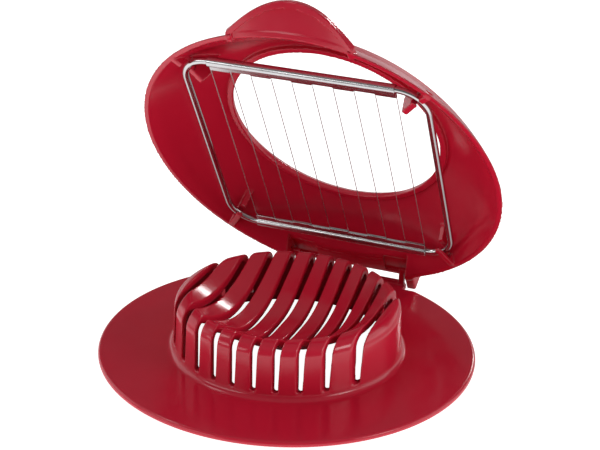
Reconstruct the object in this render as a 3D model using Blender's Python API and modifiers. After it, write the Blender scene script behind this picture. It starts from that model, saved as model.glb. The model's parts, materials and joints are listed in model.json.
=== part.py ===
"""Round egg slicer: a plate with a slotted egg cradle, and a hinged lid that carries a frame of wires.

+Z is up and +Y points from the front to the hinge. The lid stands open at OPEN_ANGLE. Lid pieces are drawn
where they lie with the lid shut, and their parent empty on the hinge axis turns them open.
Dimensions are in millimetres and degrees, and the helpers make them metres.
"""

import math

import bmesh
import bpy
from mathutils import Matrix

MM = 0.001
CENTRE_Y = -1.2  # puts the middle of the open slicer over the origin
SEGMENTS = 64  # round the turned shells

WIRES = 10
PITCH = 6.2  # between wires, and between slots
WIRE_RADIUS = 0.15

WALL = 1.9  # plate
CRADLE_WALL = 2.25
PLATE_RADIUS = 55.4
PLATE_EDGE_RADIUS = 0.7
CRADLE_RADIUS = 33.5
CREST_RADIUS = 29.0
CREST_HEIGHT = 18.5
SHOULDER_RADIUS = 4.1
ROLL_RADIUS = 2.2
FOOT_FILLET = 2.0
BOWL_FLOOR = 7.93
BOWL_FLAT_RADIUS = 4.4
BOWL_SLOPE = 32.0  # degrees, of the bowl's conical side
BOWL_CONE_RADIUS = 17.0
SLOT_TOP_WIDTH = 2.05  # at the crest, narrower below by the draft
SLOT_DRAFT = 1.4  # degrees on each side
SLOT_FLOOR = 4.15

HINGE_Y = 53.2
HINGE_Z = 6.7
OPEN_ANGLE = 58.8
POST_X = 17.75
POST_WIDTH = 1.7
POST_DEPTH = 1.8
POST_FOOT = 1.0  # height inside the plate where the posts start
BRIDGE_TOP = 3.1
BRIDGE_FOOT = 0.6
BRIDGE_DEPTH = 1.4
STUD_RADIUS = 0.85
STUD_END_X = 22.0
SOCKET_RADIUS = 0.93
SOCKET_END_GAP = 0.2
TONGUE_X = 19.1
TONGUE_FRONT_Y = 46.0
TONGUE_Y = 54.4
TONGUE_INSET = 0.3  # under and over the plate's surfaces
EAR_IN_X = 20.0
EAR_OUT_X = 22.8
NOTCH_CLEARANCE = 0.6
NOTCH_Y = 50.0

LID_Y = -0.25  # middle of the lid and of the wire frame
RIM_RADIUS = 55.7
RIM_HEIGHT = 2.91
COLLAR_RADIUS = 32.6
COLLAR_HEIGHT = 17.55
COLLAR_CORNER = 0.4
COLLAR_OUT_RADIUS = 34.5
# (radius, height) up and down the dome's skin
DOME_OUTSIDE = [(34.7, 21.15), (40.0, 17.9), (45.2, 14.0), (50.6, 8.9), (55.3, 3.6)]
DOME_INSIDE = [(34.6, 19.0), (38.8, 16.4), (44.0, 12.6), (49.3, 7.7), (53.8, 3.4)]
WINDOW_BEVEL = (33.1, 19.6)
RIM_IN_RADIUS = 54.1

HOOD_FRONT_Y = 46.0
HOOD_END_Y = 57.3
HOOD_EAR_Y = 57.8
HOOD_TOP = 9.9
HOOD_CHAMFER = (2.0, 1.5)
HOOD_UNDERSIDE = 7.7
HINGE_SPACE_Y = 45.0
POCKET_IN_X = 11.5
POCKET_TOP = 8.6
POCKET_FRONT_Y = 48.2
POCKET_END_Y = 55.9
EAR_CORNER_RADIUS = 1.2

TAB_HALF_WIDTH = 19.0
TAB_REACH = 6.7
TAB_RISE = 6.6
TAB_WALL = 2.0
TAB_OVERLAP = 1.3  # into the rim
TAB_REACH_POWER = 2.5  # how fast the tab dies away to its sides, in plan
TAB_RISE_POWER = 1.7  # and in height
TAB_CURL_POWER = 1.5  # how it curls up along its reach
TAB_STEPS = (24, 5)

WIRE_HEIGHT = 5.06
ROD_RADIUS = 1.0
ROD_HALF_X = 36.7
ROD_HALF_Y = 37.75
ROD_CORNER = 8.5
RAIL_HALF_X = 28.0
RAIL_RADIUS = 1.5
RAIL_BORE = 1.2
FLANGE_THICKNESS = 0.8
FLANGE_REACH = 3.35  # from the rod's centre line to the ends of the teeth
TOOTH_DEPTH = 0.5
RAIL_NOTCH_Y = 30.0  # how near the middle the notches between the teeth are cut
WIRE_GAP = 0.2

SUPPORT_THICKNESS = 1.8
SUPPORT_ROD_RADIUS = 48.3  # where the outlines below have the rod's centre
# (distance along the support, height). The front ones clip the rod, the rear ones are open to the middle.
FRONT_SUPPORT = [(42.0, 15.0), (41.0, 8.0), (42.8, 2.3), (47.6, 3.3), (47.6, 3.75), (46.7, 3.9), (46.7, 6.5)]
FRONT_SUPPORT += [(50.6, 6.5), (50.3, 2.5), (53.2, 2.5), (54.0, 3.1), (54.2, 4.4)]
REAR_SUPPORT = [(43.7, 13.6), (45.2, 6.5), (50.6, 6.5), (50.6, 3.75), (45.4, 3.75), (45.4, 2.6), (52.8, 2.6)]
REAR_SUPPORT += [(53.6, 3.3), (53.4, 5.2)]
REAR_SUPPORT_DIRECTION = 58.0  # degrees from X
UNION_OFFSET = 0.03  # keeps faces of joined shapes out of one plane
CUT_MARGIN = 1.0  # how far a cutter reaches past what it cuts

PARTS = "egg_slicer"
CUTTERS = "egg_slicer_cutters"


def clear_scene():
    for obj in list(bpy.data.objects):
        bpy.data.objects.remove(obj, do_unlink=True)


def collection(name, hidden=False):
    made = bpy.data.collections.new(name)
    bpy.context.scene.collection.children.link(made)
    made.hide_render = hidden
    return made


def material(name, colour, roughness, metallic):
    made = bpy.data.materials.new(name)
    made.use_nodes = True
    shader = made.node_tree.nodes["Principled BSDF"]
    shader.inputs["Base Color"].default_value = (*colour, 1.0)
    shader.inputs["Roughness"].default_value = roughness
    shader.inputs["Metallic"].default_value = metallic
    return made


def add(name, mesh, parent, look=None):
    """A part with its own material, or a cutter when it has none."""
    obj = bpy.data.objects.new(name, mesh)
    bpy.data.collections[PARTS if look else CUTTERS].objects.link(obj)
    obj.parent = parent
    if look:
        mesh.materials.append(look)
    else:
        obj.hide_render = True
        obj.display_type = "WIRE"
    return obj


def smooth(mesh, degrees=30.0):
    mesh.shade_smooth()
    mesh.set_sharp_from_angle(angle=math.radians(degrees))


def arc(centre, radius, start, end, steps):
    """Points on an arc, from one angle to the other."""
    angles = [start + (end - start) * step / steps for step in range(steps + 1)]
    return [
        (centre[0] + radius * math.cos(math.radians(a)), centre[1] + radius * math.sin(math.radians(a)))
        for a in angles
    ]


def turned(name, profile, parent, middle_y=0.0, closed=True, look=None):
    """A profile of (radius, height) points turned about a vertical axis."""
    mesh = bpy.data.meshes.new(name)
    count = len(profile)
    edges = [(i, i + 1) for i in range(count - 1)]
    if closed:
        edges.append((count - 1, 0))
    mesh.from_pydata([(r * MM, 0.0, z * MM) for r, z in profile], edges, [])
    obj = add(name, mesh, parent, look)
    obj.location = (0.0, middle_y * MM, 0.0)
    screw = obj.modifiers.new("turn", "SCREW")
    screw.steps = SEGMENTS
    screw.render_steps = SEGMENTS
    screw.use_merge_vertices = True
    screw.merge_threshold = 0.00001
    screw.use_smooth_shade = True
    return obj


def box(name, low, high, parent, look=None):
    mesh = bpy.data.meshes.new(name)
    shape = bmesh.new()
    bmesh.ops.create_cube(shape, size=1.0)
    size = [(b - a) * MM for a, b in zip(low, high)]
    middle = [(a + b) / 2 * MM for a, b in zip(low, high)]
    bmesh.ops.transform(
        shape, matrix=Matrix.Translation(middle) @ Matrix.Diagonal((*size, 1.0)), verts=shape.verts
    )
    shape.to_mesh(mesh)
    shape.free()
    return add(name, mesh, parent, look)


def rod_along(axis, name, radius, low, high, across, sides, parent, look=None):
    """A cylinder along X or Y from low to high, through the other two coordinates in across."""
    mesh = bpy.data.meshes.new(name)
    shape = bmesh.new()
    bmesh.ops.create_cone(
        shape,
        cap_ends=True,
        segments=sides,
        radius1=radius * MM,
        radius2=radius * MM,
        depth=(high - low) * MM,
    )
    mid = (low + high) / 2
    if axis == "X":
        turn = Matrix.Rotation(math.radians(90), 4, "Y")
        place = (mid, *across)
    else:
        turn = Matrix.Rotation(math.radians(-90), 4, "X")
        place = (across[0], mid, across[1])
    move = Matrix.Translation([value * MM for value in place])
    bmesh.ops.transform(shape, matrix=move @ turn, verts=shape.verts)
    shape.to_mesh(mesh)
    shape.free()
    obj = add(name, mesh, parent, look)
    smooth(mesh)
    return obj


def extruded(name, outlines, thickness, placing, parent, look=None):
    """Flat closed outlines, the later ones holes, given thickness and placed by a matrix."""
    curve = bpy.data.curves.new(name, "CURVE")
    curve.dimensions = "2D"
    curve.fill_mode = "BOTH"
    curve.extrude = thickness / 2 * MM
    for outline in outlines:
        spline = curve.splines.new("POLY")
        spline.points.add(len(outline) - 1)
        for point, (u, v) in zip(spline.points, outline):
            point.co = (u * MM, v * MM, 0.0, 1.0)
        spline.use_cyclic_u = True
    return meshed(name, curve, placing, parent, look)


def meshed(name, curve, placing, parent, look=None):
    """The curve as a mesh with its caps welded on."""
    carrier = bpy.data.objects.new(name + "_curve", curve)
    bpy.context.scene.collection.objects.link(carrier)
    graph = bpy.context.evaluated_depsgraph_get()
    mesh = bpy.data.meshes.new_from_object(carrier.evaluated_get(graph))
    bpy.data.objects.remove(carrier, do_unlink=True)
    shape = bmesh.new()
    shape.from_mesh(mesh)
    bmesh.ops.remove_doubles(shape, verts=shape.verts, dist=0.00001)
    bmesh.ops.transform(shape, matrix=placing, verts=shape.verts)
    bmesh.ops.recalc_face_normals(shape, faces=shape.faces)
    shape.to_mesh(mesh)
    shape.free()
    mesh.name = name
    obj = add(name, mesh, parent, look)
    smooth(mesh)
    return obj


def combine(obj, operation, others):
    for other in others:
        modifier = obj.modifiers.new(operation.lower() + "_" + other.name, "BOOLEAN")
        modifier.operation = operation
        modifier.object = other


# An outline drawn in (Y, Z) and given thickness along X, and one drawn in (X, Z) and given it along Y.
ALONG_X = Matrix(((0, 0, 1, 0), (1, 0, 0, 0), (0, 1, 0, 0), (0, 0, 0, 1)))
ALONG_Y = Matrix(((1, 0, 0, 0), (0, 0, -1, 0), (0, 1, 0, 0), (0, 0, 0, 1)))


def base_profile():
    """The base's wall from the bowl's middle over the crest to the plate's edge, and back underneath."""
    slope = math.radians(BOWL_SLOPE)
    bowl_radius = (BOWL_CONE_RADIUS - BOWL_FLAT_RADIUS) / math.sin(slope)
    bowl = (BOWL_FLAT_RADIUS, BOWL_FLOOR + bowl_radius)
    roll = (CREST_RADIUS, CREST_HEIGHT - ROLL_RADIUS)
    shoulder = (CREST_RADIUS, CREST_HEIGHT - SHOULDER_RADIUS)
    foot = (CRADLE_RADIUS + FOOT_FILLET, WALL + FOOT_FILLET)
    inner_foot_radius = FOOT_FILLET + CRADLE_WALL
    inner_foot_start = 180 + math.degrees(math.asin(foot[1] / inner_foot_radius))
    edge_radius = PLATE_EDGE_RADIUS
    edge = (PLATE_RADIUS - edge_radius, edge_radius)
    edge_top = (edge[0], WALL - edge_radius)
    upper = [(0.0, BOWL_FLOOR)]
    upper += arc(bowl, bowl_radius, -90, -90 + BOWL_SLOPE, 4)
    upper += arc(roll, ROLL_RADIUS, 90 + BOWL_SLOPE, 90, 2)
    upper += arc(shoulder, SHOULDER_RADIUS, 78, 10, 4)
    upper += arc(foot, FOOT_FILLET, 180, 270, 3)
    upper += arc(edge_top, edge_radius, 90, 0, 2)
    under = arc(edge, edge_radius, 0, -90, 2)
    under += arc(foot, inner_foot_radius, inner_foot_start, 180, 3)
    under += arc(shoulder, SHOULDER_RADIUS - CRADLE_WALL, 10, 90, 2)
    under += arc(bowl, bowl_radius + CRADLE_WALL, -90 + BOWL_SLOPE, -90, 4)
    under += [(0.0, BOWL_FLOOR - CRADLE_WALL)]
    return upper + under


def slot_cutters(parent):
    """A wedge for each wire, narrower downwards."""
    top = CREST_HEIGHT + CUT_MARGIN
    narrowing = math.tan(math.radians(SLOT_DRAFT))
    half_top = SLOT_TOP_WIDTH / 2 + CUT_MARGIN * narrowing
    half_floor = SLOT_TOP_WIDTH / 2 - (CREST_HEIGHT - SLOT_FLOOR) * narrowing
    outline = [(-half_floor, SLOT_FLOOR), (half_floor, SLOT_FLOOR), (half_top, top), (-half_top, top)]
    length = 2 * (CRADLE_RADIUS + FOOT_FILLET)
    for number in range(WIRES):
        x = (number - (WIRES - 1) / 2) * PITCH
        place = Matrix.Translation((x * MM, 0.0, 0.0)) @ ALONG_Y
        yield extruded(f"slot_cutter_{number + 1:02d}", [outline], length, place, parent)


def hinge_posts(parent):
    """The tongue of the plate at the hinge, the bridge, the two posts and their studs."""
    half = POST_DEPTH / 2
    back = HINGE_Y + half
    front = HINGE_Y - half
    tongue_low = (-TONGUE_X, TONGUE_FRONT_Y, TONGUE_INSET)
    yield box("tongue", tongue_low, (TONGUE_X, TONGUE_Y, WALL - TONGUE_INSET), parent)
    bridge_low = (-POST_X, HINGE_Y - BRIDGE_DEPTH / 2, BRIDGE_FOOT)
    yield box("bridge", bridge_low, (POST_X, HINGE_Y + BRIDGE_DEPTH / 2, BRIDGE_TOP), parent)
    outline = [(front, POST_FOOT), (back, POST_FOOT)] + arc((HINGE_Y, HINGE_Z), half, 0, 180, 8)
    for side, sign in (("left", -1), ("right", 1)):
        place = Matrix.Translation((sign * POST_X * MM, 0.0, 0.0)) @ ALONG_X
        yield extruded(f"post_{side}", [outline], POST_WIDTH, place, parent)
        ends = sorted((sign * POST_X, sign * STUD_END_X))
        yield rod_along("X", f"stud_{side}", STUD_RADIUS, *ends, (HINGE_Y, HINGE_Z), 24, parent)


def notch_cutters(parent):
    """Room in the plate's edge for the lid's ears."""
    for side, sign in (("left", -1), ("right", 1)):
        ends = sorted((sign * (EAR_IN_X - NOTCH_CLEARANCE), sign * (EAR_OUT_X + NOTCH_CLEARANCE)))
        low = (ends[0], NOTCH_Y, -CUT_MARGIN)
        high = (ends[1], PLATE_RADIUS + CUT_MARGIN, WALL + CUT_MARGIN)
        yield box(f"notch_cutter_{side}", low, high, parent)


def make_base(parent, look):
    base = turned("base", base_profile(), parent, closed=False, look=look)
    combine(base, "DIFFERENCE", slot_cutters(parent))
    combine(base, "DIFFERENCE", notch_cutters(parent))
    combine(base, "UNION", hinge_posts(parent))


def lid_outside():
    """The lid as a solid ring: dome outside, flat underneath, window in the middle."""
    flat = [(RIM_RADIUS, RIM_HEIGHT), (COLLAR_RADIUS, RIM_HEIGHT)]
    return DOME_OUTSIDE + flat + [(COLLAR_RADIUS, COLLAR_HEIGHT + COLLAR_CORNER), WINDOW_BEVEL]


def lid_inside():
    """The space under the dome, outside the window's collar and below it."""
    past_window = COLLAR_RADIUS - CUT_MARGIN
    top = [(past_window, COLLAR_HEIGHT), (COLLAR_OUT_RADIUS - COLLAR_CORNER, COLLAR_HEIGHT)]
    top.append((COLLAR_OUT_RADIUS, COLLAR_HEIGHT + COLLAR_CORNER))
    rim = [(RIM_IN_RADIUS, RIM_HEIGHT), (RIM_IN_RADIUS, RIM_HEIGHT - CUT_MARGIN)]
    return top + DOME_INSIDE + rim + [(past_window, RIM_HEIGHT - CUT_MARGIN)]


def make_tab(parent):
    """The finger tab: a shell that curls out and up from the front of the rim."""
    across, out = TAB_STEPS
    mesh = bpy.data.meshes.new("finger_tab")
    shape = bmesh.new()
    rows = []
    for i in range(across + 1):
        angle = math.pi * i / across
        x = TAB_HALF_WIDTH * math.cos(angle)
        rise = math.sin(angle) ** TAB_RISE_POWER * TAB_RISE
        reach = math.sin(angle) ** TAB_REACH_POWER * TAB_REACH
        inner_y = LID_Y - math.sqrt((RIM_RADIUS - TAB_OVERLAP) ** 2 - x * x)
        outer_y = LID_Y - math.sqrt(RIM_RADIUS**2 - x * x) - reach
        row = []
        for j in range(out + 1):
            t = j / out
            y = inner_y + (outer_y - inner_y) * t
            z = RIM_HEIGHT + UNION_OFFSET + rise * t**TAB_CURL_POWER
            row.append(shape.verts.new((x * MM, y * MM, z * MM)))
        rows.append(row)
    for first, second in zip(rows, rows[1:]):
        for j in range(out):
            shape.faces.new((first[j], first[j + 1], second[j + 1], second[j]))
    bmesh.ops.recalc_face_normals(shape, faces=shape.faces)
    if sum(face.normal.z for face in shape.faces) < 0:
        bmesh.ops.reverse_faces(shape, faces=shape.faces)
    shape.to_mesh(mesh)
    shape.free()
    tab = add("finger_tab", mesh, parent)
    thick = tab.modifiers.new("wall", "SOLIDIFY")
    thick.thickness = TAB_WALL * MM
    thick.offset = 1.0
    return tab


def make_hood(parent):
    """A block over the hinge, with its lower rear corner rounded. Its sides become the ears."""
    front, back, low = HOOD_FRONT_Y, HOOD_EAR_Y, RIM_HEIGHT + UNION_OFFSET
    corner = EAR_CORNER_RADIUS
    outline = [(front, HOOD_TOP - HOOD_CHAMFER[1]), (front, low)]
    outline += arc((back - corner, low + corner), corner, -90, 0, 4)
    outline += arc((back - corner, HOOD_TOP - corner), corner, 0, 90, 4)
    outline += [(front + HOOD_CHAMFER[0], HOOD_TOP)]
    return extruded("hood", [outline], 2 * EAR_OUT_X, ALONG_X, parent)


def hood_cutters(parent):
    """The open space between the ears, a trim of the hood's end there, and a pocket over each post."""
    inside = EAR_IN_X
    back = HOOD_EAR_Y + CUT_MARGIN
    space_high = (inside, back, HOOD_UNDERSIDE)
    yield box("hinge_space_cutter", (-inside, HINGE_SPACE_Y, RIM_HEIGHT - CUT_MARGIN), space_high, parent)
    end_high = (inside, back + CUT_MARGIN, HOOD_TOP + CUT_MARGIN)
    yield box("hood_end_cutter", (-inside, HOOD_END_Y, RIM_HEIGHT - 2 * CUT_MARGIN), end_high, parent)
    for side, sign in (("left", -1), ("right", 1)):
        ends = sorted((sign * POCKET_IN_X, sign * (inside - UNION_OFFSET)))
        low = (ends[0], POCKET_FRONT_Y, HOOD_UNDERSIDE - CUT_MARGIN)
        high = (ends[1], POCKET_END_Y, POCKET_TOP)
        yield box(f"pocket_cutter_{side}", low, high, parent)


def corner_supports(parent):
    """A rib from the lid's skin to each corner of the wire frame, with a finger that hooks under the rod."""
    corner_x = ROD_HALF_X - ROD_CORNER + ROD_CORNER / math.sqrt(2)
    corner_y = ROD_HALF_Y - ROD_CORNER + ROD_CORNER / math.sqrt(2)
    diagonal = math.degrees(math.atan2(corner_y, corner_x))
    rear = REAR_SUPPORT_DIRECTION
    supports = (
        ("front_right", FRONT_SUPPORT, corner_x, -corner_y, -diagonal),
        ("front_left", FRONT_SUPPORT, -corner_x, -corner_y, diagonal - 180),
        ("rear_right", REAR_SUPPORT, corner_x, corner_y, rear),
        ("rear_left", REAR_SUPPORT, -corner_x, corner_y, 180 - rear),
    )
    for where, outline, x, y, degrees in supports:
        from_rod = [(u - SUPPORT_ROD_RADIUS, v) for u, v in outline]
        turn = Matrix.Rotation(math.radians(degrees), 4, "Z") @ Matrix.Rotation(math.radians(90), 4, "X")
        place = Matrix.Translation((x * MM, (y + LID_Y) * MM, 0.0)) @ turn
        yield extruded(f"support_{where}", [from_rod], SUPPORT_THICKNESS, place, parent)


def socket_cutters(parent):
    """Blind sockets in the ears for the posts' studs."""
    for side, sign in (("left", -1), ("right", 1)):
        ends = sorted((sign * (EAR_IN_X - CUT_MARGIN), sign * (STUD_END_X + SOCKET_END_GAP)))
        yield rod_along("X", f"socket_cutter_{side}", SOCKET_RADIUS, *ends, (HINGE_Y, HINGE_Z), 24, parent)


def make_lid(parent, look):
    lid = turned("lid", lid_outside(), parent, middle_y=LID_Y, look=look)
    combine(lid, "UNION", [make_hood(parent), make_tab(parent)])
    combine(lid, "DIFFERENCE", [turned("lid_inside_cutter", lid_inside(), parent, middle_y=LID_Y)])
    combine(lid, "DIFFERENCE", hood_cutters(parent))
    combine(lid, "UNION", corner_supports(parent))
    combine(lid, "DIFFERENCE", socket_cutters(parent))


def make_wire_frame(parent, look):
    """One round rod bent to a square with rounded corners."""
    x = ROD_HALF_X - ROD_CORNER
    y = ROD_HALF_Y - ROD_CORNER
    path = []
    for centre, start in (((x, y), 0), ((-x, y), 90), ((-x, -y), 180), ((x, -y), 270)):
        path += arc(centre, ROD_CORNER, start, start + 90, 6)
    curve = bpy.data.curves.new("wire_frame", "CURVE")
    curve.dimensions = "3D"
    curve.bevel_depth = ROD_RADIUS * MM
    curve.bevel_resolution = 2
    spline = curve.splines.new("POLY")
    spline.points.add(len(path) - 1)
    for point, (u, v) in zip(spline.points, path):
        point.co = (u * MM, v * MM, 0.0, 1.0)
    spline.use_cyclic_u = True
    placing = Matrix.Translation((0.0, LID_Y * MM, WIRE_HEIGHT * MM))
    meshed("wire_frame", curve, placing, parent, look)


def make_rail(name, sign, parent, look):
    """Sheet folded round the rod, with a toothed flange towards the middle. sign is its side in Y."""
    half = FLANGE_THICKNESS / 2
    opening = math.degrees(math.asin(half / RAIL_RADIUS))
    outline = arc((0.0, 0.0), RAIL_RADIUS, opening, 360 - opening, 14)
    outline += [(FLANGE_REACH, -half), (FLANGE_REACH, half)]
    bore = arc((0.0, 0.0), RAIL_BORE, 0, 330, 11)
    towards_middle = Matrix.Scale(-sign, 4, (0, 1, 0))
    where = Matrix.Translation((0.0, (LID_Y + sign * ROD_HALF_Y) * MM, WIRE_HEIGHT * MM))
    rail = extruded(name, [outline, bore], 2 * RAIL_HALF_X, where @ towards_middle @ ALONG_X, parent, look)
    ends = sorted((LID_Y + sign * (ROD_HALF_Y - FLANGE_REACH + TOOTH_DEPTH), LID_Y + sign * RAIL_NOTCH_Y))
    gaps = []
    for pair in range(1, WIRES // 2):
        x = (2 * pair - WIRES / 2) * PITCH
        low = (x - PITCH / 2, ends[0], WIRE_HEIGHT - CUT_MARGIN)
        high = (x + PITCH / 2, ends[1], WIRE_HEIGHT + CUT_MARGIN)
        gaps.append(box(f"{name}_gap_cutter_{pair}", low, high, parent))
    combine(rail, "DIFFERENCE", gaps)


def make_wires(parent, look):
    """One wire over each slot of the cradle."""
    half = ROD_HALF_Y - FLANGE_REACH - WIRE_GAP
    for number in range(WIRES):
        x = (number - (WIRES - 1) / 2) * PITCH
        name = f"cutting_wire_{number + 1:02d}"
        rod_along("Y", name, WIRE_RADIUS, LID_Y - half, LID_Y + half, (x, WIRE_HEIGHT), 8, parent, look)


def main():
    clear_scene()
    collection(PARTS)
    collection(CUTTERS, hidden=True)
    red = (0.62, 0.011, 0.038)
    steel = (0.62, 0.60, 0.60)
    frame = bpy.data.objects.new("slicer_frame", None)
    bpy.data.collections[PARTS].objects.link(frame)
    frame.location = (0.0, CENTRE_Y * MM, 0.0)
    hinge = bpy.data.objects.new("hinge_axis", None)
    bpy.data.collections[PARTS].objects.link(hinge)
    hinge.parent = frame
    hinge.location = (0.0, HINGE_Y * MM, HINGE_Z * MM)
    hinge.rotation_euler = (math.radians(-OPEN_ANGLE), 0.0, 0.0)
    make_base(frame, material("base_plastic", red, 0.18, 0.0))
    make_lid(hinge, material("lid_plastic", red, 0.2, 0.0))
    make_wire_frame(hinge, material("frame_steel", steel, 0.15, 1.0))
    make_rail("front_rail", -1, hinge, material("front_rail_steel", steel, 0.25, 1.0))
    make_rail("rear_rail", 1, hinge, material("rear_rail_steel", steel, 0.25, 1.0))
    make_wires(hinge, material("wire_steel", steel, 0.2, 1.0))
    for obj in bpy.data.objects:
        if obj.parent == hinge:
            obj.matrix_parent_inverse = Matrix.Translation((0.0, -HINGE_Y * MM, -HINGE_Z * MM))


main()
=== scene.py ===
"""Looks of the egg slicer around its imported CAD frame: filleted mouldings, steel wire frame, studio.

Each moulding is a distance field in millimetres, negative inside, so every edge and rib joint gets a real
fillet. A field is meshed on a grid and its points are then moved onto the field's exact zero. The lid and
the steel in it are drawn with the lid shut and turned open about the hinge, as in the CAD.
"""

import json
import math

import bpy
import numpy as np
from mathutils import Matrix, Vector


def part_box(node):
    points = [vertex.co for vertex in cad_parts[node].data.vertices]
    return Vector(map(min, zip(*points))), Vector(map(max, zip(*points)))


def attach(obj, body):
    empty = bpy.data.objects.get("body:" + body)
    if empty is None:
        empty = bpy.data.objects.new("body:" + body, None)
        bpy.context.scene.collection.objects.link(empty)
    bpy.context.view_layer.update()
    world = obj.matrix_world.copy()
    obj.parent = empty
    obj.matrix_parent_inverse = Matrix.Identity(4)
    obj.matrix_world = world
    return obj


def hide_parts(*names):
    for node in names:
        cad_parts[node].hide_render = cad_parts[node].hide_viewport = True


MM = 0.001

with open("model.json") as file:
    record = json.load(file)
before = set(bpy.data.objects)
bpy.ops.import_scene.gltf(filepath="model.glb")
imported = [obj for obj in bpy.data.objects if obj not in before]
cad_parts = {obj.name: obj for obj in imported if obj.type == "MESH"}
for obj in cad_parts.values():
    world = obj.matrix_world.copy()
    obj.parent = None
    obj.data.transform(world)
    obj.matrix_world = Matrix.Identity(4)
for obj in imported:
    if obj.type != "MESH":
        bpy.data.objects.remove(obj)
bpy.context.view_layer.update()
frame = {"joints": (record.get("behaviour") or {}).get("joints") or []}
hinge = frame["joints"][0]
OPEN_ANGLE = -hinge["range_deg"][0]

WIRES = 10
PITCH = 6.2
WALL = 1.9
PLATE_RADIUS = (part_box("base")[1].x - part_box("base")[0].x) / 2 / MM
CENTRE_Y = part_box("base")[0].y / MM + PLATE_RADIUS
HINGE_Y = hinge["pos_m"][1] / MM - CENTRE_Y
HINGE_Z = hinge["pos_m"][2] / MM
LID_Y = -0.25
RIM_HEIGHT = 2.91
RIM_RADIUS = 55.7
ROD_HALF_X = 36.7
ROD_HALF_Y = 37.75
ROD_CORNER = 8.5
WIRE_HEIGHT = 5.06


# ---------------------------------------------------------------- distance fields


def union(a, b, radius):
    """Both shapes, with a fillet of this radius where they meet."""
    corner = np.hypot(np.maximum(radius - a, 0), np.maximum(radius - b, 0))
    return np.maximum(radius, np.minimum(a, b)) - corner


def overlap(a, b, radius):
    """What is inside both shapes, with its edges rounded."""
    corner = np.hypot(np.maximum(radius + a, 0), np.maximum(radius + b, 0))
    return np.minimum(-radius, np.maximum(a, b)) + corner


def cut(a, b, radius):
    return overlap(a, -b, radius)


def block(u, v, low, high, radius):
    """A rectangle in u and v with round corners."""
    du = np.abs(u - (low[0] + high[0]) / 2) - (high[0] - low[0]) / 2 + radius
    dv = np.abs(v - (low[1] + high[1]) / 2) - (high[1] - low[1]) / 2 + radius
    outside = np.hypot(np.maximum(du, 0), np.maximum(dv, 0))
    return outside + np.minimum(np.maximum(du, dv), 0) - radius


def to_line(u, v, start, end):
    along = (end[0] - start[0], end[1] - start[1])
    square = max(along[0] ** 2 + along[1] ** 2, 1e-9)
    t = np.clip(((u - start[0]) * along[0] + (v - start[1]) * along[1]) / square, 0, 1)
    return np.hypot(u - start[0] - t * along[0], v - start[1] - t * along[1])


def to_arc(u, v, centre, radius, start, end):
    """Distance to an arc between two angles in degrees."""
    middle, half = math.radians((start + end) / 2), math.radians(abs(end - start) / 2)
    x, y = u - centre[0], v - centre[1]
    along = x * math.cos(middle) + y * math.sin(middle)
    across = np.abs(y * math.cos(middle) - x * math.sin(middle))
    turned = np.arctan2(across, along)
    end_gap = np.hypot(along - radius * math.cos(half), across - radius * math.sin(half))
    return np.where(turned <= half, np.abs(np.hypot(x, y) - radius), end_gap)


def polygon(u, v, points):
    nearest = np.full(np.shape(u), np.inf)
    inside = np.zeros(np.shape(u), bool)
    for start, end in zip(points, points[1:] + points[:1]):
        nearest = np.minimum(nearest, to_line(u, v, start, end))
        if start[1] != end[1]:
            crossing = start[0] + (v - start[1]) * (end[0] - start[0]) / (end[1] - start[1])
            inside ^= ((v < start[1]) != (v < end[1])) & (u < crossing)
    return np.where(inside, -nearest, nearest)


def circle_through(a, b, c):
    """Centre and radius of the circle through three points."""
    rows = np.array([[b[0] - a[0], b[1] - a[1]], [c[0] - a[0], c[1] - a[1]]]) * 2
    right = [p[0] ** 2 - a[0] ** 2 + p[1] ** 2 - a[1] ** 2 for p in (b, c)]
    centre = np.linalg.solve(rows, right)
    return centre, math.hypot(a[0] - centre[0], a[1] - centre[1])


# ---------------------------------------------------------------- meshing

# Millimetres between a field's samples.
GRID = 0.42
RAIL_GRID = 0.18


def grid_values(field, low, high, step):
    """The field on a grid. Blocks of 4 cells a side that the surface can't reach keep one value."""
    span = 4
    blocks = [int(math.ceil((b - a) / step / span)) for a, b in zip(low, high)]
    index = np.stack(np.meshgrid(*[np.arange(n) for n in blocks], indexing="ij"), -1).reshape(-1, 3)
    middle = np.array(low) + (index + 0.5) * span * step
    value = field(*middle.T)
    values = np.repeat(np.repeat(np.repeat(value.reshape(blocks), span, 0), span, 1), span, 2)
    values = np.pad(values, ((0, 1),) * 3, mode="edge").astype(np.float32)
    near = index[np.abs(value) < span * step * 1.2]
    local = np.stack(np.meshgrid(*[np.arange(span + 1)] * 3, indexing="ij"), -1).reshape(-1, 3)
    for part in np.array_split(near, max(1, len(near) // 4000)):
        at = (part[:, None, :] * span + local[None]).reshape(-1, 3)
        values[tuple(at.T)] = field(*(np.array(low) + at * step).T)
    return values


def slope(field, points, reach=0.02):
    sides = np.eye(3) * reach
    rise = [field(*(points + side).T) - field(*(points - side).T) for side in sides]
    return np.stack(rise, -1) / (2 * reach)


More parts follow.
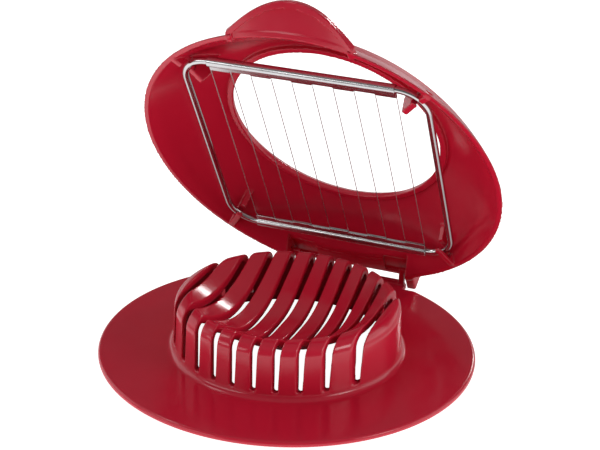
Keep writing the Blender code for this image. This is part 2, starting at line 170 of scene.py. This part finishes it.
def surface_nets(values, low, step):
    """One point in each cell that the surface crosses, and a face across each grid edge that crosses it."""
    inside = values < 0
    cells = [n - 1 for n in inside.shape]
    total = np.zeros((*cells, 3), np.float32)
    count = np.zeros(cells, np.float32)
    for axis in range(3):
        others = [a for a in range(3) if a != axis]
        first = np.take(values, range(cells[axis]), axis)
        second = np.take(values, range(1, cells[axis] + 1), axis)
        crossed = (first < 0) != (second < 0)
        share = np.where(crossed, first / np.where(crossed, first - second, 1), 0)
        for du in (0, 1):
            for dv in (0, 1):
                window = [slice(None)] * 3
                window[others[0]] = slice(du, cells[others[0]] + du)
                window[others[1]] = slice(dv, cells[others[1]] + dv)
                hit = crossed[tuple(window)]
                total[..., axis] += share[tuple(window)]
                total[..., others[0]] += du * hit
                total[..., others[1]] += dv * hit
                count += hit
    at = np.argwhere(count > 0)
    number = np.full(cells, -1, np.int64)
    number[tuple(at.T)] = np.arange(len(at))
    points = np.array(low) + (at + total[tuple(at.T)] / count[tuple(at.T)][:, None]) * step
    faces = []
    for axis in range(3):
        b, c = (axis + 1) % 3, (axis + 2) % 3
        first = np.take(inside, range(cells[axis]), axis)
        second = np.take(inside, range(1, cells[axis] + 1), axis)
        for change, order in ((first & ~second, 1), (second & ~first, -1)):
            edge = np.argwhere(change)
            edge = edge[(edge[:, b] > 0) & (edge[:, c] > 0)]
            edge = edge[(edge[:, b] < cells[b]) & (edge[:, c] < cells[c])]
            corners = []
            for db, dc in ((1, 1), (0, 1), (0, 0), (1, 0)):
                cell = edge.copy()
                cell[:, b] -= db
                cell[:, c] -= dc
                corners.append(number[tuple(cell.T)])
            faces.append(np.stack(corners[::order], -1))
    return points, np.concatenate(faces)


def moulding(name, field, low, high, step, place):
    """The field's surface as an object. place takes its points, in millimetres, to where they are at rest."""
    points, faces = surface_nets(grid_values(field, low, high, step), low, step)
    for _ in range(4):
        rise = slope(field, points)
        fall = field(*points.T) / np.maximum((rise**2).sum(1), 0.05)
        points -= np.clip(fall, -step, step)[:, None] * rise
    normals = slope(field, points)
    normals /= np.linalg.norm(normals, axis=1)[:, None]
    turn = np.array(place.to_3x3())
    mesh = bpy.data.meshes.new(name)
    placed = (points @ turn.T + np.array(place.translation)) * MM
    mesh.from_pydata(placed.tolist(), [], faces.tolist())
    mesh.shade_smooth()
    mesh.normals_split_custom_set_from_vertices((normals @ turn.T).tolist())
    obj = bpy.data.objects.new(name, mesh)
    bpy.context.scene.collection.objects.link(obj)
    return obj, points


# ---------------------------------------------------------------- base

CRADLE_WALL = 2.25
BOWL_FLOOR = 7.93
BOWL_FLAT_RADIUS = 4.4
BOWL_SLOPE = 32.0
BOWL_ARC = 23.8
CREST_RADIUS = 29.0
ROLL = (CREST_RADIUS, 16.3, 2.2)  # centre's distance from the axis, its height, radius
SHOULDER = (CREST_RADIUS, 14.4, 4.1)
FOOT = (35.5, 3.9, 2.0)
DRAFT = 2.2
SLOT_TOP = 18.5
SLOT_HALF = 1.025  # at the top, less below
SLOT_DRAFT = math.tan(math.radians(1.4))
SLOT_FLOOR = 4.15
SLOT_REACH = 40.0
SLOT_MOUTH = 0.48  # rounding of its edges


def arc_point(centre, radius, angle):
    angle = math.radians(angle)
    return centre[0] + radius * math.cos(angle), centre[1] + radius * math.sin(angle)


def shell_line():
    """The middle of the cradle's wall, as arcs and the lines between them: (centre, radius, start, end)."""
    half = CRADLE_WALL / 2
    bowl = ((BOWL_FLAT_RADIUS, BOWL_FLOOR + BOWL_ARC), BOWL_ARC + half, -90, -90 + BOWL_SLOPE)
    roll = (ROLL[:2], ROLL[2] - half, 90 + BOWL_SLOPE, 90)
    shoulder = (SHOULDER[:2], SHOULDER[2] - half, 90, DRAFT)
    foot = (FOOT[:2], FOOT[2] + half, 180 + DRAFT, 270)
    return bowl, roll, shoulder, foot


def cradle_shell(radius, z):
    half = CRADLE_WALL / 2
    arcs = shell_line()
    nearest = to_line(radius, z, (-1.0, BOWL_FLOOR - half), (BOWL_FLAT_RADIUS, BOWL_FLOOR - half))
    for centre, size, start, end in arcs:
        nearest = np.minimum(nearest, to_arc(radius, z, centre, size, start, end))
    for (c0, r0, _, end), (c1, r1, start, _) in zip(arcs, arcs[1:]):
        joint = to_line(radius, z, arc_point(c0, r0, end), arc_point(c1, r1, start))
        nearest = np.minimum(nearest, joint)
    plate = to_line(radius, z, (FOOT[0], WALL / 2), (PLATE_RADIUS - WALL / 2, WALL / 2))
    return np.maximum(np.minimum(nearest - half, plate - WALL / 2), -z)


def slots(x, y, z):
    """Ten slots, the same distance apart, open at the top and narrower below."""
    number = np.clip(np.round(x / PITCH - 0.5), -WIRES / 2, WIRES / 2 - 1)
    across = np.abs(x - (number + 0.5) * PITCH) - SLOT_HALF + (SLOT_TOP - z) * SLOT_DRAFT
    return overlap(overlap(across, SLOT_FLOOR - z, 0.5), np.abs(y) - SLOT_REACH, 0.3)


POST_X = 17.75
POST_HALF = 0.85
POST_ROUND = 0.9
POST_FOOT = 0.6
BRIDGE_HALF = 0.7
BRIDGE_TOP = 3.1
STUD_RADIUS = 0.85
STUD_X = 19.9
STUD_HALF = 2.1
TONGUE_START = 46.0
TONGUE_END = 54.4
TONGUE_HALF = 19.1
NOTCH_X = 21.4
NOTCH_HALF = 2.0
NOTCH_START = 50.0
SKIN = 0.01  # keeps two faces from lying in one plane


def hinge_posts(x, y, z):
    """Two posts with a round top and a stud each, and the low bridge between them."""
    side = np.abs(x)
    wall = block(y, z, (HINGE_Y - BRIDGE_HALF, POST_FOOT), (HINGE_Y + BRIDGE_HALF, BRIDGE_TOP), 0.3)
    bridge = overlap(wall, side - POST_X, 0.2)
    top = (HINGE_Y + POST_ROUND, HINGE_Z + POST_ROUND)
    upright = block(y, z, (HINGE_Y - POST_ROUND, POST_FOOT), top, 0.88)
    post = overlap(upright, np.abs(side - POST_X) - POST_HALF, 0.25)
    pin = np.hypot(y - HINGE_Y, z - HINGE_Z) - STUD_RADIUS
    stud = overlap(pin, np.abs(side - STUD_X) - STUD_HALF, 0.3)
    return union(union(post, stud, 0.2), bridge, 0.4)


def base_field(x, y, z):
    """The plate with the slotted cradle, a tongue and two notches at the hinge, and the hinge posts."""
    d = cut(cradle_shell(np.hypot(x, y), z), slots(x, y, z), SLOT_MOUTH)
    side = np.abs(x)
    tongue = block(y, z, (TONGUE_START, SKIN), (TONGUE_END, WALL - SKIN), 0.5)
    d = np.minimum(d, overlap(tongue, side - TONGUE_HALF, 0.5))
    notch = overlap(np.abs(side - NOTCH_X) - NOTCH_HALF, NOTCH_START - y, 0.5)
    d = cut(d, notch, 0.35)
    return union(d, hinge_posts(x, y, z), 0.6)


# ---------------------------------------------------------------- lid

OUTER_ARC = circle_through((34.7, 21.15), (45.2, 14.0), (RIM_RADIUS, RIM_HEIGHT))
INNER_ARC = circle_through((34.6, 19.0), (44.0, 12.6), (54.1, RIM_HEIGHT))
COLLAR = (32.6, 17.55)  # the window's radius, and the height of the collar's lower end
COLLAR_WIDTH = 1.9
EAR_IN = 20.0
EAR_OUT = 22.8
HOOD_START = 44.0
HOOD_END = 57.3
HOOD_TOP = 9.9
SPACE_START = 45.0
SPACE_TOP = 7.7
POCKET = ((48.2, 4.0), (55.9, 8.6))
POCKET_X = 15.75
POCKET_HALF = 4.25
SOCKET_RADIUS = 0.93
SOCKET_END = 22.2
WINDOW_FLARE = 0.3
FLARE_START = 18.0
WINDOW_CHAMFER = 13.55  # cuts the collar's upper edge where radius - height is under this
TAB_HALF = 18.6
TAB_ROOT = -53.0
TAB_START = 2.6  # how far inside the rim the scoop begins
TAB_REACH = 8.9
TAB_FULLNESS = 1.124  # its outline is a parabola at 1 and an ellipse at 2
TAB_RISE = 7.1
TAB_WALL = 1.4
TAB_LIP = 1.9
TAB_RECESS = 0.9
TAB_RIB_END = -50.0
TAB_HOLLOW_END = -45.0
GRAIN_START = 36.2
GRAIN_END = 52.6


def dome(radius, z, arc):
    centre, size = arc
    return np.hypot(radius - centre[0], z - centre[1]) - size


def finger_tab(x, y, z):
    """The scoop at the front of the rim, the lip round it and the hollow inside the lip."""
    u, v = np.abs(x) / TAB_HALF, np.clip((TAB_ROOT - y) / TAB_REACH, 0, None)
    steepness = np.hypot(2 * u / TAB_HALF, TAB_FULLNESS * v ** (TAB_FULLNESS - 1) / TAB_REACH)
    plan = (u**2 + v**TAB_FULLNESS - 1) / np.maximum(steepness, 0.02)
    bulge = np.clip(1 - u**2, 0, 1)
    start = TAB_START - np.sqrt(np.maximum(RIM_RADIUS**2 - x**2, 1))
    length = np.maximum(start - TAB_ROOT + TAB_REACH * bulge ** (1 / TAB_FULLNESS), 1.0)
    climb = TAB_RISE * bulge / length
    tilt = np.hypot(1, climb)
    low = RIM_HEIGHT + climb * np.clip(start - y, 0, length)
    floor, top = low + TAB_RECESS * tilt, low + (TAB_RECESS + TAB_WALL) * tilt
    edge = (plan + (z - RIM_HEIGHT - TAB_RISE * bulge) * climb) / tilt
    upper = (z - top) / tilt
    sheet = overlap(np.maximum((floor - z) / tilt, upper), np.maximum(edge, y - start - 1.0), 0.5)
    band = overlap(np.maximum(edge, y - TAB_RIB_END), -TAB_LIP - plan, 0.3)
    lip = overlap(np.maximum((low - z) / tilt, upper), band, 0.3)
    hollow = overlap(np.maximum(plan + TAB_LIP, y - TAB_HOLLOW_END), (z - floor) / tilt, 0.3)
    return sheet, lip, hollow


def hood(x, y, z):
    """The block over the hinge, whose sides are the ears."""
    body = block(y, z, (HOOD_START, RIM_HEIGHT), (HOOD_END + 0.5, HOOD_TOP), 1.2)
    return overlap(body, np.abs(x) - EAR_OUT, 0.6)


def hinge_space(x, y, z):
    """What is cut from under and behind the hood for the hinge posts."""
    side = np.abs(x)
    below = overlap(overlap(z - SPACE_TOP, SPACE_START - y, 0.8), side - EAR_IN, 0.3)
    behind = overlap(HOOD_END - y, side - EAR_IN, 0.3)
    pocket = overlap(block(y, z, *POCKET, 0.5), np.abs(side - POCKET_X) - POCKET_HALF, 0.3)
    return np.minimum(np.minimum(below, behind), pocket)


# Each is (distance along the support, height), with the rod's centre at SUPPORT_ROD.
SUPPORT_ROD = 48.3
SUPPORT_HALF = 0.9
FRONT_SUPPORT = [(42.0, 15.0), (41.0, 8.0), (42.8, 2.3), (47.6, 3.3), (47.6, 3.75), (46.7, 3.9), (46.7, 6.5)]
FRONT_SUPPORT += [(50.6, 6.5), (50.3, 2.5), (53.2, 2.5), (54.0, 3.1), (54.2, 4.4)]
REAR_SUPPORT = [(43.7, 13.6), (45.2, 6.5), (50.6, 6.5), (50.6, 3.75), (45.4, 3.75), (45.4, 2.6), (52.8, 2.6)]
REAR_SUPPORT += [(53.6, 3.3), (53.4, 5.2)]
REAR_SUPPORT_DIRECTION = 58.0


def corner_supports(x, y, z):
    """A rib from the skin to each corner of the wire frame, with a finger that hooks under the rod."""
    corner = ROD_CORNER * (1 - math.sqrt(0.5))
    cx, cy = ROD_HALF_X - corner, ROD_HALF_Y - corner
    shapes = []
    for outline, side, turn in (
        (FRONT_SUPPORT, -y, math.atan2(cy, cx)),
        (REAR_SUPPORT, y, math.radians(REAR_SUPPORT_DIRECTION)),
    ):
        u, v = np.abs(x) - cx, side - cy
        along = SUPPORT_ROD + u * math.cos(turn) + v * math.sin(turn)
        across = np.abs(v * math.cos(turn) - u * math.sin(turn))
        shapes.append(np.maximum(overlap(polygon(along, z, outline), across - SUPPORT_HALF, 0.3), -side))
    return np.minimum(*shapes)


def lid_field(x, y, z):
    """The shut lid: dome, hood and tab, hollowed, with the window, the hinge's spaces and the supports."""
    y = y - LID_Y
    radius = np.hypot(x, y)
    d = overlap(dome(radius, z, OUTER_ARC), RIM_HEIGHT - z, 0.15)
    d = union(d, hood(x, y + LID_Y, z), 1.2)
    sheet, lip, hollow = finger_tab(x, y, z)
    d = union(d, sheet, 0.8)
    collar = np.minimum(COLLAR[0] + COLLAR_WIDTH - radius, z - COLLAR[1])
    inside = overlap(dome(radius, z, INNER_ARC), collar, 0.5)
    d = cut(d, inside, 0.2)
    d = cut(union(d, lip, 0.3), hollow, 0.3)
    bore = radius - COLLAR[0] - WINDOW_FLARE * np.maximum(z - FLARE_START, 0)
    window = np.minimum(bore, (radius - z - WINDOW_CHAMFER) / math.sqrt(2))
    d = cut(d, window, 0.2)
    d = cut(d, hinge_space(x, y + LID_Y, z), 0.3)
    d = union(d, corner_supports(x, y, z), 0.5)
    pin = np.hypot(y + LID_Y - HINGE_Y, z - HINGE_Z) - SOCKET_RADIUS
    return cut(d, overlap(pin, np.abs(x) - SOCKET_END, 0.1), 0.15)


# ---------------------------------------------------------------- steel

ROD_RADIUS = 1.0
WIRE_RADIUS = 0.12
RAIL_HALF = 28.0
FOLD_RADIUS = 1.5
FLANGE_REACH = 3.35
FLANGE_HALF = 0.4
SEAM_START = 3.0
SEAM_HALF = 0.05
TOOTH_DEPTH = 0.5


def rail_field(x, y, z):
    """Sheet folded round a rod at the origin, its flange towards +Y with four notches a pitch wide."""
    fold = np.hypot(y, z) - FOLD_RADIUS
    flange = block(y, z, (ROD_RADIUS, -FLANGE_HALF), (FLANGE_REACH, FLANGE_HALF), 0.18)
    seam = overlap(np.abs(z) - SEAM_HALF, SEAM_START - y, 0.03)
    d = union(fold, flange, 0.25)
    d = cut(d, seam, 0.05)
    pair = np.clip(np.round(x / (2 * PITCH) - 0.5), -2, 1)
    between = np.abs(x - (pair + 0.5) * 2 * PITCH) - PITCH / 2
    notch = overlap(between, FLANGE_REACH - TOOTH_DEPTH - y, 0.2)
    d = cut(d, notch, 0.12)
    return overlap(d, np.abs(x) - RAIL_HALF, 0.12)


def rod_path():
    """The frame's centre line, a square with round corners, in the plane of the wires."""
    x, y = ROD_HALF_X - ROD_CORNER, ROD_HALF_Y - ROD_CORNER
    points = []
    for centre, start in (((x, y), 0), ((-x, y), 90), ((-x, -y), 180), ((x, -y), 270)):
        points += [arc_point(centre, ROD_CORNER, start + 90 * step / 16) for step in range(17)]
    return [(u, LID_Y + v, WIRE_HEIGHT) for u, v in points]


def tube(name, points, radius, place, closed=False, sides=5):
    """A round wire along points in millimetres."""
    curve = bpy.data.curves.new(name, "CURVE")
    curve.dimensions = "3D"
    curve.bevel_depth = radius * MM
    curve.bevel_resolution = sides
    curve.use_fill_caps = True
    spline = curve.splines.new("POLY")
    spline.points.add(len(points) - 1)
    for point, at in zip(spline.points, points):
        point.co = (*(place @ Vector(at) * MM), 1.0)
    spline.use_cyclic_u = closed
    spline.use_smooth = True
    obj = bpy.data.objects.new(name, curve)
    bpy.context.scene.collection.objects.link(obj)
    return obj


def wire_path(number):
    """A wire from tooth to tooth. It goes round the end of each flange and lies on its far side."""
    x = (number - (WIRES - 1) / 2) * PITCH
    inward = -0.45 if number % 2 else 0.45
    edge = ROD_HALF_Y - FLANGE_REACH
    hook = [(edge - 1.2, 0.0, 0.0), (edge - 0.25, 0.02, 0.0), (edge + 0.1, 0.35, 0.3)]
    hook += [(edge + 0.5, 0.62, 0.7), (edge + 0.9, 0.63, 1.0)]
    far = [(x + inward * side, LID_Y + y, WIRE_HEIGHT + z) for y, z, side in hook]
    near = [(x + inward * side, LID_Y - y, WIRE_HEIGHT + z) for y, z, side in reversed(hook)]
    return near + far


# ---------------------------------------------------------------- materials

RED = (0.64, 0.0115, 0.040)
DEEP_RED = (0.59, 0.0100, 0.035)
STEEL = (0.62, 0.61, 0.62)
# Scales of noise, in blotches to the metre, and depths of relief in metres.
COLOUR_NOISE = 45
GLOSS_NOISE = 160
FLOW_NOISE = 260
PIT_NOISE = 2600
FLOW_DEPTH = 0.00003
PIT_DEPTH = 0.00009
STEEL_NOISE = 300
LINE_NOISE = 6000.0
LINE_DEPTH = 0.00002
GRAIN_ROUGHNESS = 0.27


def add_node(tree, kind, inputs=(), **settings):
    node = tree.nodes.new(kind)
    for key, value in settings.items():
        setattr(node, key, value)
    for key, value in dict(inputs).items():
        node.inputs[key].default_value = value
    return node


def new_material(name):
    made = bpy.data.materials.new(name)
    made.use_nodes = True
    tree = made.node_tree
    return made, tree, tree.nodes["Principled BSDF"], add_node(tree, "ShaderNodeTexCoord")


def noise(tree, place, scale, detail=2.0):
    node = add_node(tree, "ShaderNodeTexNoise", {"Scale": scale, "Detail": detail})
    tree.links.new(place.outputs["Object"], node.inputs["Vector"])
    return node


def spread(tree, source, low, high):
    """Maps a noise's middle range to low ... high."""
    ends = {"From Min": 0.3, "From Max": 0.7, "To Min": low, "To Max": high}
    node = add_node(tree, "ShaderNodeMapRange", ends)
    tree.links.new(source, node.inputs["Value"])
    return node.outputs["Result"]


def plastic(name):
    """Glossy moulded plastic, a little uneven in colour and gloss, with grain where the mesh says."""
    made, tree, shader, place = new_material(name)
    shader.inputs["IOR"].default_value = 1.5
    shader.inputs["Specular IOR Level"].default_value = 0.5
    blend = add_node(tree, "ShaderNodeMix", data_type="RGBA")
    blend.inputs[6].default_value = (*DEEP_RED, 1)
    blend.inputs[7].default_value = (*RED, 1)
    tree.links.new(noise(tree, place, COLOUR_NOISE).outputs["Fac"], blend.inputs[0])
    tree.links.new(blend.outputs[2], shader.inputs["Base Color"])
    grain = add_node(tree, "ShaderNodeAttribute", attribute_name="grain")
    gloss = spread(tree, noise(tree, place, GLOSS_NOISE).outputs["Fac"], 0.15, 0.23)
    rough = add_node(tree, "ShaderNodeMath", operation="MULTIPLY_ADD")
    rough.inputs[1].default_value = GRAIN_ROUGHNESS
    tree.links.new(grain.outputs["Fac"], rough.inputs[0])
    tree.links.new(gloss, rough.inputs[2])
    tree.links.new(rough.outputs[0], shader.inputs["Roughness"])
    flow = add_node(tree, "ShaderNodeBump", {"Strength": 0.35, "Distance": FLOW_DEPTH})
    tree.links.new(noise(tree, place, FLOW_NOISE, 1.0).outputs["Fac"], flow.inputs["Height"])
    pits = add_node(tree, "ShaderNodeBump", {"Distance": PIT_DEPTH})
    tree.links.new(grain.outputs["Fac"], pits.inputs["Strength"])
    tree.links.new(noise(tree, place, PIT_NOISE, 2.0).outputs["Fac"], pits.inputs["Height"])
    tree.links.new(flow.outputs["Normal"], pits.inputs["Normal"])
    tree.links.new(pits.outputs["Normal"], shader.inputs["Normal"])
    return made


def steel(name, roughness, brushed):
    """Drawn or rolled steel, with fine lines along X where it is brushed."""
    made, tree, shader, place = new_material(name)
    shader.inputs["Metallic"].default_value = 1.0
    blend = add_node(tree, "ShaderNodeMix", data_type="RGBA")
    blend.inputs[6].default_value = (*[c * 0.86 for c in STEEL], 1)
    blend.inputs[7].default_value = (*STEEL, 1)
    tree.links.new(noise(tree, place, STEEL_NOISE).outputs["Fac"], blend.inputs[0])
    tree.links.new(blend.outputs[2], shader.inputs["Base Color"])
    stretch = add_node(tree, "ShaderNodeMapping", {"Scale": (0.02, 1, 1) if brushed else (1, 1, 1)})
    tree.links.new(place.outputs["Object"], stretch.inputs["Vector"])
    lines = add_node(tree, "ShaderNodeTexNoise", {"Scale": LINE_NOISE, "Detail": 3.0})
    tree.links.new(stretch.outputs["Vector"], lines.inputs["Vector"])
    gloss = spread(tree, lines.outputs["Fac"], roughness, roughness + 0.12)
    tree.links.new(gloss, shader.inputs["Roughness"])
    bump = add_node(tree, "ShaderNodeBump", {"Strength": 0.15, "Distance": LINE_DEPTH})
    tree.links.new(lines.outputs["Fac"], bump.inputs["Height"])
    tree.links.new(bump.outputs["Normal"], shader.inputs["Normal"])
    return made


# ---------------------------------------------------------------- the pieces

TO_REST = (
    Matrix.Translation((0, CENTRE_Y + HINGE_Y, HINGE_Z))
    @ Matrix.Rotation(math.radians(-OPEN_ANGLE), 4, "X")
    @ Matrix.Translation((0, -HINGE_Y, -HINGE_Z))
)


def finish_piece(obj, look, slot, body, *nodes):
    """Gives a piece its material, the body it rides and the CAD nodes it replaces; slot is not used."""
    obj.data.materials.append(look)
    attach(obj, body)
    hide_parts(*nodes)


def mark_grain(obj, share):
    """Where the surface is moulded with a grain, from 0 to 1 at each point."""
    attribute = obj.data.attributes.new("grain", "FLOAT", "POINT")
    attribute.data.foreach_set("value", share.astype(np.float32))


# Each grid reaches a little past its shape on every side.


def make_base():
    half = PLATE_RADIUS + 1.0
    place = Matrix.Translation((0, CENTRE_Y, 0))
    low, high = (-half, -half, -0.9), (half, half, 19.6)
    obj, points = moulding("base_moulding", base_field, low, high, GRID, place)
    mark_grain(obj, np.zeros(len(points)))
    finish_piece(obj, plastic("base_plastic"), "base_plastic", "base", "base")


def make_lid():
    low, high = (-56.9, -63.6, 1.9), (56.9, 58.9, 22.2)
    obj, points = moulding("lid_moulding", lid_field, low, high, GRID, TO_REST)
    radius = np.hypot(points[:, 0], points[:, 1] - LID_Y)
    depth = np.abs(dome(radius, points[:, 2], OUTER_ARC))
    band = np.clip((radius - GRAIN_START) / 0.3, 0, 1) * np.clip((GRAIN_END - radius) / 0.3, 0, 1)
    mark_grain(obj, band * np.clip(1 - depth / 0.2, 0, 1))
    finish_piece(obj, plastic("lid_plastic"), "lid_plastic", "lid", "lid")


def make_steel():
    rod = tube("wire_frame_rod", rod_path(), ROD_RADIUS, TO_REST, closed=True, sides=8)
    finish_piece(rod, steel("frame_steel", 0.07, False), "frame_steel", "lid", "wire_frame")
    rail_look = steel("rail_steel", 0.16, True)
    for name, side in (("front", -1), ("rear", 1)):
        middle = Matrix.Translation((0, LID_Y + side * ROD_HALF_Y, WIRE_HEIGHT))
        turn = Matrix.Rotation(math.pi if side > 0 else 0, 4, "Z")
        low, high = (-RAIL_HALF - 0.4, -1.9, -1.9), (RAIL_HALF + 0.4, FLANGE_REACH + 0.4, 1.9)
        place = TO_REST @ middle @ turn
        rail, _ = moulding(f"{name}_rail_sheet", rail_field, low, high, RAIL_GRID, place)
        finish_piece(rail, rail_look, "rail_steel", "lid", f"{name}_rail")
    wire_look = steel("wire_steel", 0.2, False)
    for number in range(WIRES):
        path = wire_path(number)
        wire = tube(f"cutting_wire_strand_{number + 1:02d}", path, WIRE_RADIUS, TO_REST, sides=3)
        finish_piece(wire, wire_look, "wire_steel", "lid", f"cutting_wire_{number + 1:02d}")


# ---------------------------------------------------------------- studio

CAMERA_AZIMUTH = 21.12
CAMERA_ELEVATION = 23.69
CAMERA_ROLL = 1.57
CAMERA_DISTANCE = 0.4661
CAMERA_AIM = (0.00306, -0.0012, 0.04089)
CAMERA_LENS = 98.25

# name, azimuth, elevation, distance, size, radiance
LIGHTS = [
    ("front_left", -40, 18, 0.9, (0.7, 0.2), 3.0),
    ("left", -95, 24, 0.9, (0.7, 0.5), 1.1),
    ("left_top", -85, 54, 0.9, (0.2, 0.15), 5.0),
    ("right", 78, 25, 0.9, (0.35, 0.25), 5.5),
    ("right_rear", 115, 20, 0.9, (0.6, 0.45), 1.3),
    ("rear", 172, 21, 1.0, (0.12, 0.12), 25.0),
]


def from_angles(azimuth, elevation):
    a, e = math.radians(azimuth), math.radians(elevation)
    return Vector((math.sin(a) * math.cos(e), -math.cos(a) * math.cos(e), math.sin(e)))


def make_camera():
    data = bpy.data.cameras.new("camera")
    data.lens = CAMERA_LENS
    data.sensor_width = 36.0
    camera = bpy.data.objects.new("camera", data)
    bpy.context.scene.collection.objects.link(camera)
    back = from_angles(CAMERA_AZIMUTH, CAMERA_ELEVATION)
    camera.location = Vector(CAMERA_AIM) + back * CAMERA_DISTANCE
    turn = (-back).to_track_quat("-Z", "Y").to_matrix() @ Matrix.Rotation(math.radians(CAMERA_ROLL), 3, "Z")
    camera.rotation_euler = turn.to_euler()
    bpy.context.scene.camera = camera


def soft_light(name, azimuth, elevation, distance, size, radiance):
    """A rectangular light aimed at the object, with the same brightness whatever its size."""
    data = bpy.data.lights.new(name, "AREA")
    data.shape = "RECTANGLE"
    data.size, data.size_y = size
    data.energy = radiance * math.pi * size[0] * size[1]
    light = bpy.data.objects.new(name, data)
    bpy.context.scene.collection.objects.link(light)
    direction = from_angles(azimuth, elevation)
    light.location = Vector((0, 0, 0.03)) + direction * distance
    light.rotation_euler = direction.to_track_quat("Z", "Y").to_euler()


def smooth_step(tree, source, low, high):
    ends = {"From Min": low, "From Max": high}
    node = add_node(tree, "ShaderNodeMapRange", ends, interpolation_type="SMOOTHSTEP")
    tree.links.new(source, node.inputs["Value"])
    return node.outputs["Result"]


def colour_mix(tree, factor, first, second):
    """Between two colours, each a number for a grey or a node's output."""
    node = add_node(tree, "ShaderNodeMix", data_type="RGBA")
    tree.links.new(factor, node.inputs[0])
    for number, colour in ((6, first), (7, second)):
        if isinstance(colour, float):
            node.inputs[number].default_value = (colour, colour, colour, 1)
        else:
            tree.links.new(colour, node.inputs[number])
    return node.outputs[2]


def make_world():
    """White behind the object, a dim studio with a bright horizon at the back in its reflections."""
    world = bpy.data.worlds.new("studio")
    bpy.context.scene.world = world
    world.use_nodes = True
    tree = world.node_tree
    place = add_node(tree, "ShaderNodeTexCoord")
    parts = add_node(tree, "ShaderNodeSeparateXYZ")
    tree.links.new(place.outputs["Generated"], parts.inputs[0])
    low = add_node(tree, "ShaderNodeMath", operation="SUBTRACT", inputs={0: 1.0})
    tree.links.new(smooth_step(tree, parts.outputs["Z"], 0.05, 0.35), low.inputs[1])
    back = add_node(tree, "ShaderNodeMath", operation="MULTIPLY")
    tree.links.new(low.outputs[0], back.inputs[0])
    tree.links.new(smooth_step(tree, parts.outputs["Y"], -0.4, 0.3), back.inputs[1])
    top = colour_mix(tree, smooth_step(tree, parts.outputs["Z"], 0.5, 0.8), 0.13, 0.3)
    studio = colour_mix(tree, back.outputs[0], top, 1.0)
    ray = add_node(tree, "ShaderNodeLightPath")
    seen = colour_mix(tree, ray.outputs["Is Camera Ray"], studio, 1.0)
    tree.links.new(seen, tree.nodes["Background"].inputs["Color"])


def make_floor():
    """A pale floor, white where seen directly; for other rays a painted glow, bright in front, painted shadow
    under and behind.
    """
    mesh = bpy.data.meshes.new("floor")
    half, z = 3.0, -0.0002
    corners = [(-half, -half, z), (half, -half, z), (half, half, z), (-half, half, z)]
    mesh.from_pydata(corners, [], [(0, 1, 2, 3)])
    floor = bpy.data.objects.new("floor", mesh)
    bpy.context.scene.collection.objects.link(floor)
    look, tree, shader, place = new_material("floor")
    shader.inputs["Base Color"].default_value = (0.6, 0.6, 0.6, 1)
    shader.inputs["Roughness"].default_value = 0.6
    shader.inputs["Specular IOR Level"].default_value = 0.0
    parts = add_node(tree, "ShaderNodeSeparateXYZ")
    tree.links.new(place.outputs["Object"], parts.inputs[0])
    far = add_node(tree, "ShaderNodeVectorMath", operation="LENGTH")
    tree.links.new(place.outputs["Object"], far.inputs[0])
    # Painted glow for reflections and bounce light: bright near the object, dim farther out.
    near = colour_mix(tree, smooth_step(tree, far.outputs["Value"], 0.2, 0.5), 1.0, 0.1)
    # Painted shade: the glow is dimmed behind the object.
    front = colour_mix(tree, smooth_step(tree, parts.outputs["Y"], -0.02, 0.06), near, 0.1)
    # Painted shadow: no glow on the floor under the object.
    painted_glow_and_shadow = colour_mix(tree, smooth_step(tree, far.outputs["Value"], 0.048, 0.06), 0.0, front)
    ray = add_node(tree, "ShaderNodeLightPath")
    tree.links.new(colour_mix(tree, ray.outputs["Is Camera Ray"], painted_glow_and_shadow, 1.0), shader.inputs["Emission Color"])
    shader.inputs["Emission Strength"].default_value = 1.0
    mesh.materials.append(look)


def make_studio():
    make_world()
    make_floor()
    for light in LIGHTS:
        soft_light(*light)
    bpy.context.scene.view_settings.view_transform = "Standard"


make_camera()
make_studio()
make_base()
make_lid()
make_steel()
